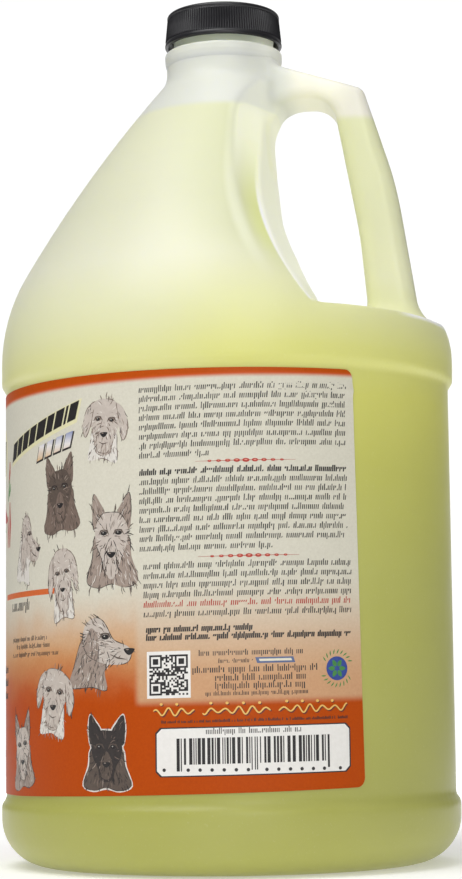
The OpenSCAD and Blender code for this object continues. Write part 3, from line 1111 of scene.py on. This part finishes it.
HEADS = {
    "prick": [
        ("ruff", even(0.3, [(-0.62, 0.1), (-0.72, -0.35), (-0.95, -0.85), (-0.5, -1.0)], -0.92)),
        *ears([(-0.62, 0.2), (-0.72, 0.6), (-0.66, 1.0), (-0.42, 0.82), (-0.2, 0.5)]),
        ("head",
         even(0.6, [(-0.36, 0.55), (-0.6, 0.25), (-0.55, -0.1), (-0.36, -0.38), (-0.24, -0.68)], -0.76)),
        ("muzzle", even(0.05, [(-0.16, -0.1), (-0.26, -0.4), (-0.16, -0.66)], -0.7))],
    "floppy": [
        ("ruff", even(0.2, [(-0.5, 0.0), (-0.6, -0.5), (-0.62, -1.0)], -0.9)),
        ("head",
         even(0.95, [(-0.45, 0.86), (-0.66, 0.45), (-0.56, 0.0), (-0.4, -0.4), (-0.3, -0.72)], -0.82)),
        *ears([(-0.46, 0.84), (-0.82, 0.62), (-1.0, 0.1), (-0.84, -0.3), (-0.62, 0.1), (-0.55, 0.5)]),
        ("muzzle", even(0.1, [(-0.2, 0.0), (-0.32, -0.35), (-0.24, -0.68)], -0.74))],
    "profile": [
        ("ruff",
         [(-0.1, 0.5), (-0.62, 0.3), (-0.86, -0.4), (-1.0, -1.0), (-0.2, -0.95), (0.3, -1.0), (0.2, -0.5),
                  (0.35, -0.2)]),
        ("head",
         [(-0.2, 0.92), (-0.52, 0.72), (-0.6, 0.3), (-0.4, -0.1), (0.1, -0.28), (0.6, -0.3), (0.92, -0.2),
                  (1.0, 0.06), (0.86, 0.22), (0.44, 0.36), (0.22, 0.66), (0.04, 0.86)]),
        ("ear", [(-0.36, 0.62), (-0.08, 0.4), (-0.04, -0.1), (-0.18, -0.6), (-0.48, -0.66), (-0.6, -0.1)])]}

FEATURES = {
    "prick": {"eyes": [(-0.27, 0.16), (0.27, 0.16)], "nose": (0, -0.3),
              "mouth": [(-0.15, -0.46), (0, -0.53), (0.15, -0.46)],
              "roots": {"ruff": (0, 0.6), "ear": (0, -0.4), "head": (0, 0.1), "muzzle": (0, 0.1)}},
    "floppy": {"eyes": [(-0.3, 0.3), (0.3, 0.3)], "nose": (0, -0.16),
               "mouth": [(-0.2, -0.4), (0, -0.46), (0.2, -0.4)],
               "roots": {"ruff": (0, 0.7), "ear": (0, 1.8), "head": (0, 0.5), "muzzle": (0, 0.2)}},
    "profile": {"eyes": [(0.16, 0.42)], "nose": (0.93, 0.08),
                "mouth": [(0.86, -0.14), (0.6, -0.12), (0.36, -0.04)],
                "roots": {"ruff": (0.1, 1.2), "ear": (-0.2, 1.2), "head": (0.8, 0.1)}}}

# Ground colour of each part, then what the hair is drawn with inside it and near its edge
TONES = {"pale": {"ruff": "paper", "ear": "wash", "head": "wash", "muzzle": "wash",
                  "fur": ("tan", "sepia", "paper", "paper", "wash"), "edge": ("sepia", "coal", "tan",
                                                                              "soot")},
         "mid": {"ruff": "tan", "ear": "tan", "head": "wash", "muzzle": "wash",
                 "fur": ("sepia", "coal", "wash", "paper", "soot"), "edge": ("soot", "coal", "soot",
                                                                             "sepia")},
         "deep": {"ruff": "sepia", "ear": "sepia", "head": "coal", "muzzle": "sepia",
                  "fur": ("coal", "sepia", "soot", "tan"), "edge": ("coal", "soot", "coal", "sepia")},
         "dark": {"ruff": "coal", "ear": "soot", "head": "soot", "muzzle": "coal",
                  "fur": ("soot", "coal", "soot", "sepia", "black"), "edge": ("soot", "coal", "black",
                                                                              "tan")}}


HAIR_DENSITY = 2.4          # strokes tried per square millimetre of a head's quarter


def inside(point, loop):
    """Whether a point lies inside a closed loop."""
    x, y = point
    crossings = 0
    for (x0, y0), (x1, y1) in zip(loop, loop[1:] + loop[:1]):
        if (y0 > y) != (y1 > y) and x < x0 + (y - y0) * (x1 - x0) / (y1 - y0):
            crossings += 1
    return crossings % 2 == 1


def grown(outline, by):
    """An outline moved outwards from its middle."""
    middle = np.mean(outline, axis=0)
    return [tuple(p + (p - middle) / np.linalg.norm(p - middle) * by) for p in np.array(outline)]


def hair(art, at, curve, root, colours, count, layer):
    """Short bent strokes that run away from a root, darker towards the curve they fill."""
    for _ in range(count):
        x, y = rng.uniform(-1, 1), rng.uniform(-1, 1)
        if not inside((x, y), curve):
            continue
        near_edge = not all(inside((x + dx, y + dy), curve) for dx,
                            dy in ((0.1, 0), (-0.1, 0), (0, 0.1), (0, -0.1)))
        way = math.atan2(y - root[1], x - root[0]) + rng.uniform(-0.35, 0.35)
        reach = rng.uniform(0.04, 0.12)
        line = [(x, y)]
        for bend in (0, rng.uniform(-0.5, 0.5)):
            x += reach * math.cos(way + bend)
            y += reach * math.sin(way + bend)
            line.append((x, y))
        colour = rng.choice(colours["edge" if near_edge else "fur"])
        placed = [at(p) for p in line]
        if min(p[1] for p in placed) > LABEL_LOW + 0.6:
            art.stroke(placed, rng.uniform(0.16, 0.36), colour, layer + rng.random())


def dog_head(art, kind, tone, cu, cz, half_w, half_h, flip=1, lean=0.0, tongue=False, halo=False):
    """A sketched head in a box of half_w by half_h round (cu, cz)."""
    cosine, sine = math.cos(math.radians(lean)), math.sin(math.radians(lean))

    def at(p):
        x, y = p[0] * flip, p[1]
        return (cu - (x * cosine - y * sine) * half_w, cz + (x * sine + y * cosine) * half_h)

    colours = TONES[tone]
    face = FEATURES[kind]
    curves = [(part, smooth_loop(loop)) for part, loop in HEADS[kind]]
    if halo:
        for _, curve in curves:
            art.shape(grown([at(p) for p in curve], 0.55), "paper", 0)
    for layer, (part, curve) in enumerate(curves, 1):
        art.shape([at(p) for p in curve], colours[part], layer)
        outline = curve + curve[:1]
        for i in range(0, len(outline) - 3, 3):
            if rng.random() < 0.6:
                art.stroke([at(p) for p in outline[i:i + 4]], 0.26, colours["edge"][0], layer + 1)
        hair(art, at, curve, face["roots"][part], colours, int(half_w * half_h * HAIR_DENSITY), layer + 0.2)
    size = half_w / 10
    for eye in face["eyes"]:
        u, z = at(eye)
        for side in (-1, 1):
            art.stroke([(u + 1.9 * size * side, z - 0.5 * size), (u + 1.1 * size * side, z + 0.8 * size),
                        (u - 0.4 * size * side, z + 1.1 * size)], 0.5 * size, colours["edge"][1], 8)
        art.ellipse(u, z, 1.25 * size, 0.7 * size, colours["edge"][0], 8, 12)
        art.ellipse(u, z, 0.75 * size, 0.6 * size, "black", 9, 12)
        art.ellipse(u + 0.2 * size, z + 0.2 * size, 0.2 * size, 0.16 * size, "paper", 10, 8)
    u, z = at(face["nose"])
    art.shape(smooth_loop([(u - 1.5 * size, z + 0.7 * size), (u + 1.5 * size, z + 0.7 * size),
                           (u + 1.0 * size, z - 0.5 * size), (u, z - 1.0 * size), (u - 1.0 * size,
                                                                                   z - 0.5 * size)]),
              "black", 8)
    art.ellipse(u + 0.5 * size, z + 0.45 * size, 0.45 * size, 0.16 * size, "tan", 9, 8)
    art.stroke([at(p) for p in face["mouth"]], 0.4 * size, colours["edge"][1], 8)
    if tongue:
        u, z = at((0, -0.62))
        art.shape(smooth_loop([(u - 1.5 * size, z + 1.6 * size), (u + 1.5 * size, z + 1.6 * size),
                               (u + 1.3 * size, z - 2.0 * size), (u, z - 3.0 * size),
                               (u - 1.3 * size, z - 2.0 * size)]), "wash", 8)
        art.stroke([(u, z + 1.2 * size), (u, z - 1.0 * size), (u, z - 2.2 * size)], 0.35, "sepia", 9)


def sketched_dogs(inks):
    art = Print("label_drawings", inks)
    dog_head(art, "floppy", "pale", 86.2, 139.6, 8.6, 10.2, 1, -6)
    dog_head(art, "prick", "deep", 105.2, 120.4, 9.2, 12.6, 1, 4)
    dog_head(art, "prick", "mid", 83.8, 104.4, 10.0, 14.8, 1, 0, tongue=True)
    dog_head(art, "profile", "pale", 124.4, 104.0, 8.0, 11.6, 1, -8)
    dog_head(art, "floppy", "pale", 104.0, 91.6, 7.2, 11.8, 1, 6)
    dog_head(art, "profile", "mid", 88.4, 69.6, 11.6, 11.6, 1, -4)
    dog_head(art, "floppy", "pale", 108.6, 54.4, 9.6, 11.0, 1, -8)
    dog_head(art, "prick", "dark", 86.0, 38.4, 9.4, 11.6, 1, 0, halo=True)
    dog_head(art, "prick", "mid", 128.4, 38.8, 8.6, 12.4, -1, 6)
    art.finish()


def slanted_bars(art, u, z, tall, climb, widths, colour, layer, gap):
    """A row of leaning blocks of several widths, along a line that climbs towards the right."""
    lean = tall * 0.3
    for width in widths:
        rise = width * climb
        art.shape([(u, z - tall / 2), (u - width, z - tall / 2 + rise),
                   (u - width - lean, z + tall / 2 + rise),
                   (u - lean, z + tall / 2)], colour, layer)
        u -= width + gap
        z += (width + gap) * climb
    return u, z


def emblem(inks):
    """A climbing row of leaning blocks where a title stands, with a pale edge, and a shaded row below."""
    art = Print("label_emblem", inks)
    blocks = (4.3, 4.0, 4.3, 4.2, 5.0, 3.7, 4.1, 1.1, 3.8)
    whole = sum(blocks) + 0.75 * (len(blocks) - 1)
    slanted_bars(art, 139.0, 135.6, 7.6, 0.26, (whole + 1.2,), "glow", 0, 0)
    slanted_bars(art, 138.4, 136.2, 5.9, 0.26, blocks, "black", 2, 0.75)
    for grow, colour, layer in ((0.5, "soot", 1), (0.0, "dusk", 2)):
        slanted_bars(art, 117.6 + grow, 134.2 - grow, 4.9 + grow, 0.2, (3.1 + 2 * grow,) * 4, colour, layer,
                     1.6 - 2 * grow)
    for start, end, wide, colour in (((142.5, 134.0), (144.0, 127.0), 1.9, "red"),
                                     ((143.4, 128.0), (145.6, 121.0), 1.5, "green"),
                                     ((141.4, 126.5), (143.6, 122.6), 1.0, "green"),
                                     ((142.8, 120.5), (143.2, 105.5), 2.3, "red"),
                                     ((146.6, 116.0), (146.4, 105.5), 1.9, "red")):
        middle = ((start[0] + end[0]) / 2 - 0.5, (start[1] + end[1]) / 2)
        art.stroke([start, middle, end], wide, colour, 1)
    art.finish()


def front_panel(inks):
    """The side that faces away: a broad swoosh, a large drawn head and rows of greeked text."""
    art = Print("label_front", inks)
    middle = 196.0
    art.shape(smooth_loop([(middle + 46, 119), (middle + 26, 126), (middle - 20, 126), (middle - 46, 117),
                           (middle - 44, 114), (middle - 18, 119), (middle + 24, 120), (middle + 44,
                                                                                        115)], 8),
              "red", 0)
    art.shape(smooth_loop([(middle + 44, 111.5), (middle + 26, 117.5), (middle - 18, 117),
                           (middle - 44, 111),
                           (middle - 18, 114.2), (middle + 28, 114.8)], 8), "green", 0)
    dog_head(art, "floppy", "mid", middle, 80.0, 21.0, 27.0, 1, 0)
    for i in range(9):
        art.ellipse(middle + 42 - i * 10.4, 137.5 + 3.5 * math.sin(math.pi * i / 8), 7.0, 8.4, "glow", 0,
                    20)
    half = (2.4, 5.2, 1.5, 3.4, 6.0, 1.5, 2.4, 4.6, 1.5)
    u, z = slanted_bars(art, middle + 44, 135.8, 11.4, 0.08, half, "black", 2, 1.7)
    slanted_bars(art, u, z, 11.4, -0.08, half[::-1], "black", 2, 1.7)
    text_row(art, middle + 34, middle - 34, 45.0, "dark", x_height=3.2, advance=2.9, bold=1.4)
    text_row(art, middle + 40, middle - 40, 38.6, "dark", x_height=2.2, advance=2.0)
    text_row(art, middle + 30, middle - 30, 33.4, "dark", x_height=1.8, advance=1.6)
    for shift in (-1, 1):
        for row in range(3):
            text_row(art, middle + shift * 42 + 9, middle + shift * 42 - 9, 66.0 - 4.2 * row, "dark",
                     x_height=1.8, advance=1.6)
    art.box(148.0, 107.0, 89.2, 91.0, "orange", 0)
    for z, left, right, size in ((86.2, 139, 122, 2.6), (75.4, 138, 112, 1.1), (73.0, 134, 110, 1.1),
                                 (70.4, 138, 106, 1.1)):
        text_row(art, left, right, z, "dark", x_height=size, advance=size * 0.9)
    dog_head(art, "prick", "pale", 285.0, 128.0, 11.0, 15.0, 1, 0)
    dog_head(art, "profile", "mid", 312.0, 98.0, 12.0, 13.0, -1, 0)
    dog_head(art, "floppy", "dark", 282.0, 70.0, 11.0, 13.0, 1, 0)
    dog_head(art, "prick", "mid", 314.0, 45.0, 10.0, 13.0, 1, 0)
    for i in range(8):
        text_row(art, 340.0, 300.0, 150.0 - ROW_PITCH * i, "dark")
    art.finish()


# ---- the scene ----

CAMERA_AZIMUTH = 6.5
CAMERA_DISTANCE = 789.6
CAMERA_HEIGHT = 55.8
CAMERA_ASIDE = 1.12
CAMERA_PITCH = 6.31
CAMERA_ROLL = -0.64
CAMERA_LENS = 94.77


def camera():
    a = math.radians(CAMERA_AZIMUTH)
    p = math.radians(CAMERA_PITCH)
    roll = math.radians(CAMERA_ROLL)
    right = Vector((math.cos(a), math.sin(a), 0))
    onward = Vector((-math.sin(a) * math.cos(p), math.cos(a) * math.cos(p), math.sin(p)))
    up = right.cross(onward)
    axis_x = right * math.cos(roll) + up * math.sin(roll)
    axis_y = up * math.cos(roll) - right * math.sin(roll)
    where = Vector((math.sin(a), -math.cos(a), 0)) * CAMERA_DISTANCE + right * CAMERA_ASIDE
    where.z = CAMERA_HEIGHT
    data = bpy.data.cameras.new("camera")
    data.sensor_fit = "VERTICAL"
    data.sensor_height = 36
    data.lens = CAMERA_LENS
    data.clip_start = 0.05
    data.clip_end = 50
    made = bpy.data.objects.new("camera", data)
    made.matrix_world = Matrix.Translation(where * MM) @ Matrix((axis_x, axis_y,
                                                                 -onward)).transposed().to_4x4()
    bpy.context.scene.collection.objects.link(made)
    bpy.context.scene.camera = made


def softbox(name, azimuth, elevation, distance, size, power):
    """A square area light that faces the middle of the object."""
    data = bpy.data.lights.new(name, "AREA")
    data.size = size
    data.energy = power
    a, e = math.radians(azimuth), math.radians(elevation)
    away = Vector((math.sin(a) * math.cos(e), -math.cos(a) * math.cos(e), math.sin(e)))
    light = bpy.data.objects.new(name, data)
    light.location = Vector((0, 0, 0.15)) + away * distance
    light.rotation_euler = away.to_track_quat("Z", "Y").to_euler()
    bpy.context.scene.collection.objects.link(light)


def studio():
    world = bpy.data.worlds.new("studio")
    bpy.context.scene.world = world
    world.use_nodes = True
    tree = world.node_tree
    ahead = math.radians(CAMERA_AZIMUTH)
    direction = node("TexCoord", {}, "Generated", tree)
    forward = vector_maths("DOT_PRODUCT", direction, (-math.sin(ahead), math.cos(ahead), 0), "Value")
    aside = vector_maths("DOT_PRODUCT", direction, (math.cos(ahead), math.sin(ahead), 0), "Value")
    glow = 0.42 - span(abs(aside), 0.3, 0.8) * 0.32 + span(forward, 0.9, 0.96) * 0.64
    feed(tree, tree.nodes["Background"], {"Strength": glow})
    tree.nodes["Background"].inputs["Color"].default_value = (1, 1, 1, 1)
    softbox("key", -32, 56, 1.3, 0.95, 8.5)
    softbox("fill", 16, 16, 1.8, 0.8, 6.2)
    softbox("top", 0, 84, 1.4, 0.8, 4)
    bpy.context.scene.view_settings.view_transform = "Standard"


def floor():
    """A broad plain floor with a gently rippled edge, so that it isn't one flat square."""
    rings = [0.0, 0.1, 0.2, 0.4, 0.6, 0.9]
    columns = 48
    verts = [(r * 1000 * math.cos(2 * math.pi * j / columns),
              r * 1000 * math.sin(2 * math.pi * j / columns), -0.2)
             for r in rings[1:] for j in range(columns)] + [(0, 0, -0.2)]
    faces = grid_faces(len(rings) - 1, columns)
    faces = [f[::-1] for f in faces]
    faces += [(j, (j + 1) % columns, len(verts) - 1) for j in range(columns)]
    made = make_piece("floor", verts, faces, [studio_white()], None, sharp=0)


def bottle():
    hdpe = natural_hdpe()
    points, faces = jug_skin()
    skin = make_piece("bottle_skin", points, faces, [hdpe], "bottle", sharp=0)
    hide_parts("bottle_shell")
    verts, faces = neck_finish()
    make_piece("neck_finish", verts, faces, [hdpe], "bottle")


def closure():
    verts, faces = screw_cap()
    cap = make_piece("cap", verts, faces, [black_cap()], "cap", sharp=32)
    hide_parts("screw_cap")
    verts, faces = foam_liner()
    disc = make_piece("liner_disc", verts, faces, [liner_foam()], "liner")
    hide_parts("cap_liner")


def filling():
    verts, faces = liquid_body()
    liquid = make_piece("liquid", verts, faces, [shampoo_liquid()], "bottle", sharp=0)
    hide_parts("shampoo")


def label():
    verts, faces = label_sheet()
    sheet = make_piece("label", verts, faces, [printed_label()], "bottle", sharp=50)
    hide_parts("wrap_label")
    inks = {
        "dark": ink("dark", (32, 29, 30), (56, 52, 52)),
        "black": ink("black", (22, 20, 22), (40, 36, 36)),
        "red": ink("red", (150, 34, 26), (190, 58, 40)),
        "blush": ink("blush", (214, 130, 110), (232, 160, 140)),
        "white": ink("white", (224, 221, 216), (240, 238, 234)),
        "cream": ink("cream", (214, 206, 186), (232, 226, 206)),
        "slate": ink("slate", (70, 86, 124), (104, 120, 156)),
        "blue": ink("blue", (34, 50, 124), (58, 84, 160)),
        "green": ink("green", (44, 112, 54), (82, 150, 76)),
        "gold": ink("gold", (214, 166, 72), (240, 204, 120)),
        "maroon": ink("maroon", (84, 26, 14), (116, 42, 22)),
        "orange": ink("orange", (196, 86, 28), (222, 112, 48)),
        "glow": ink("glow", (214, 209, 164), (226, 221, 184), 3.0),
        "dusk": shaded_ink("dusk", [(0, (214, 176, 122)), (0.5, (226, 222, 220)), (1, (92, 112, 172))],
                           131.5, 141.0),
        "paper": ink("paper", (206, 200, 192), (228, 224, 216)),
        "wash": ink("wash", (176, 164, 154), (208, 198, 188), 1.6),
        "tan": ink("tan", (128, 112, 102), (176, 160, 148), 1.4),
        "sepia": ink("sepia", (92, 76, 68), (136, 118, 106)),
        "coal": ink("coal", (66, 55, 48), (104, 90, 80)),
        "soot": ink("soot", (34, 29, 28), (58, 50, 48))}

    def some(*names):
        return {name: inks[name] for name in names}

    text_panel(some("dark", "red", "blush", "slate", "cream"))
    square_code(some("white", "black"))
    bar_code(some("white", "black", "dark"))
    badge(some("blue", "green"))
    scroll_line(some("gold", "maroon", "black"))
    emblem(some("glow", "paper", "black", "soot", "dusk", "red", "green"))
    sketched_dogs(some("paper", "wash", "tan", "sepia", "coal", "soot", "black"))
    front_panel(some("dark", "black", "red", "green", "orange", "glow", "paper", "wash", "tan", "sepia",
                     "coal", "soot"))


camera()
studio()
floor()
bottle()
closure()
filling()
label()
